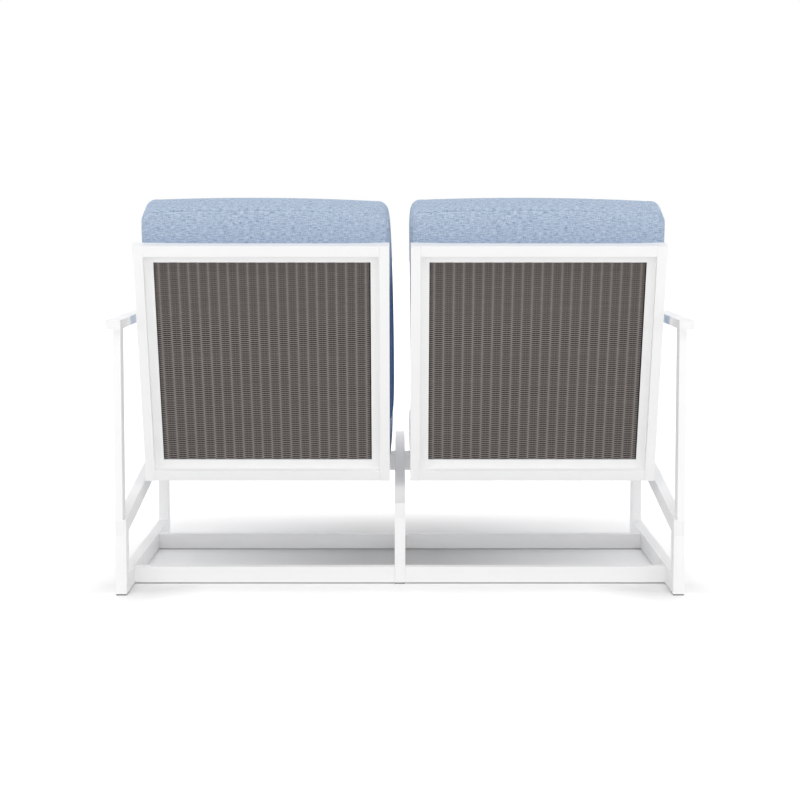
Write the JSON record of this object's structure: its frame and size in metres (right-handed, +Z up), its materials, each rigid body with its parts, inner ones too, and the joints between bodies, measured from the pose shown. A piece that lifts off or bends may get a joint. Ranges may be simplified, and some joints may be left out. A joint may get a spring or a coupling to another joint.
{
  "type": "outdoor rocking bench",
  "caption": "White metal garden bench frame with twin seats that rock separately, woven back panels, level armrests and thick loose blue cushions.",
  "frame": {"origin": "on the floor, midway between the two arms and midway between the armrests' front and rear ends", "axes": "+X to the sitter's left along the bench, -Y the way the bench faces, +Z up"},
  "size_m": [1.481, 0.946, 1.0117],
  "materials": {
    "white_frame": "satin",
    "woven_wicker": "matte",
    "cushion_fabric": "matte",
    "black_rubber": "matte",
    "zinc_steel": "satin",
    "dark_plastic": "matte",
    "white_plastic": "satin"
  },
  "bodies": {
    "base": {"left_rear_leg": "white_frame", "left_front_leg": "white_frame", "left_rear_arm_post": "white_frame", "left_front_arm_post": "white_frame", "left_base_rail": "white_frame", "left_seat_rail": "white_frame", "left_armrest": "white_frame", "left_rear_cross_member": "white_frame", "left_front_cross_member": "white_frame", "left_seat_beam": "white_frame", "right_rear_leg": "white_frame", "right_front_leg": "white_frame", "right_rear_arm_post": "white_frame", "right_front_arm_post": "white_frame", "right_base_rail": "white_frame", "right_seat_rail": "white_frame", "right_armrest": "white_frame", "right_rear_cross_member": "white_frame", "right_front_cross_member": "white_frame", "right_seat_beam": "white_frame", "centre_rear_post": "white_frame", "centre_front_post": "white_frame", "centre_base_rail": "white_frame", "centre_seat_rail": "white_frame", "foot_glides": "dark_plastic", "tube_end_plugs": "white_plastic", "pivot_brackets": "white_frame", "torsion_bushes": "black_rubber", "bracket_screws": "zinc_steel"},
    "left_seat": {"left_back_outer_stile": "white_frame", "left_back_inner_stile": "white_frame", "left_seat_outer_rail": "white_frame", "left_seat_inner_rail": "white_frame", "left_back_top_rail": "white_frame", "left_back_bottom_rail": "white_frame", "left_back_trim": "white_frame", "left_woven_panel": "woven_wicker", "left_seat_front_rail": "white_frame", "left_pivot_rail": "white_frame", "left_deck_slats": "white_frame", "left_ear_brackets": "white_frame", "left_pivot_axles": "zinc_steel", "left_seat_cushion": "cushion_fabric", "left_back_cushion": "cushion_fabric"},
    "right_seat": {"right_back_outer_stile": "white_frame", "right_back_inner_stile": "white_frame", "right_seat_outer_rail": "white_frame", "right_seat_inner_rail": "white_frame", "right_back_top_rail": "white_frame", "right_back_bottom_rail": "white_frame", "right_back_trim": "white_frame", "right_woven_panel": "woven_wicker", "right_seat_front_rail": "white_frame", "right_pivot_rail": "white_frame", "right_deck_slats": "white_frame", "right_ear_brackets": "white_frame", "right_pivot_axles": "zinc_steel", "right_seat_cushion": "cushion_fabric", "right_back_cushion": "cushion_fabric"}
  },
  "joints": [
    {"name": "left_seat_rock", "type": "hinge", "parent": "base", "child": "left_seat", "pos_m": [0.35525, -0.20589, 0.30151], "axis": [1, 0, 0], "range_deg": [-8, 6], "stiffness_Nm_per_rad": 1100, "springref_deg": 4.73},
    {"name": "right_seat_rock", "type": "hinge", "parent": "base", "child": "right_seat", "pos_m": [-0.35525, -0.20589, 0.30151], "axis": [1, 0, 0], "range_deg": [-8, 6], "stiffness_Nm_per_rad": 1100, "springref_deg": 4.73}
  ]
}
